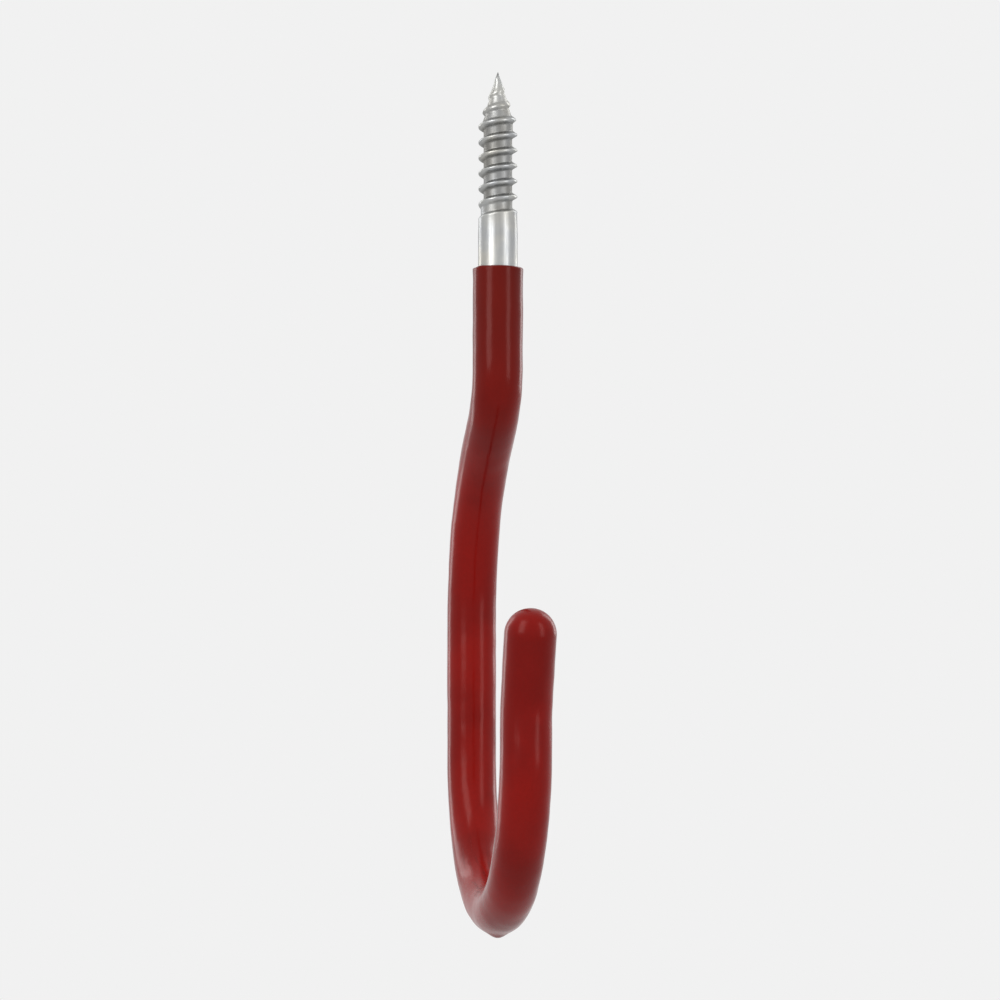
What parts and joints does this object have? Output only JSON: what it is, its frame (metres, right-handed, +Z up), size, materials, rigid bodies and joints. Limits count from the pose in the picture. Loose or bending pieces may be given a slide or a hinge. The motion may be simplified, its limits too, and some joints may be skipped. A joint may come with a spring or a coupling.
{
  "type": "screw-in bicycle hook",
  "caption": "Screw-in storage hook: a round steel rod bent into a deep offset U with a leaning tip, dipped in red vinyl, with a wood thread on its straight upper end.",
  "frame": {"origin": "on the screw's axis at the hook's shoulder, where the shank goes into the ceiling or beam", "axes": "+Z up along the screw, out of the hook and into the ceiling; the hook lies in the XZ plane with its offset leg on the -X side and its open mouth and free tip on the +X side; Y is across the rod"},
  "size_m": [0.0739, 0.0096, 0.165],
  "materials": {
    "zinc_steel": "satin",
    "red_vinyl": "gloss"
  },
  "bodies": {
    "root": {"steel_hook": "zinc_steel", "vinyl_coating": "red_vinyl"}
  },
  "joints": []
}
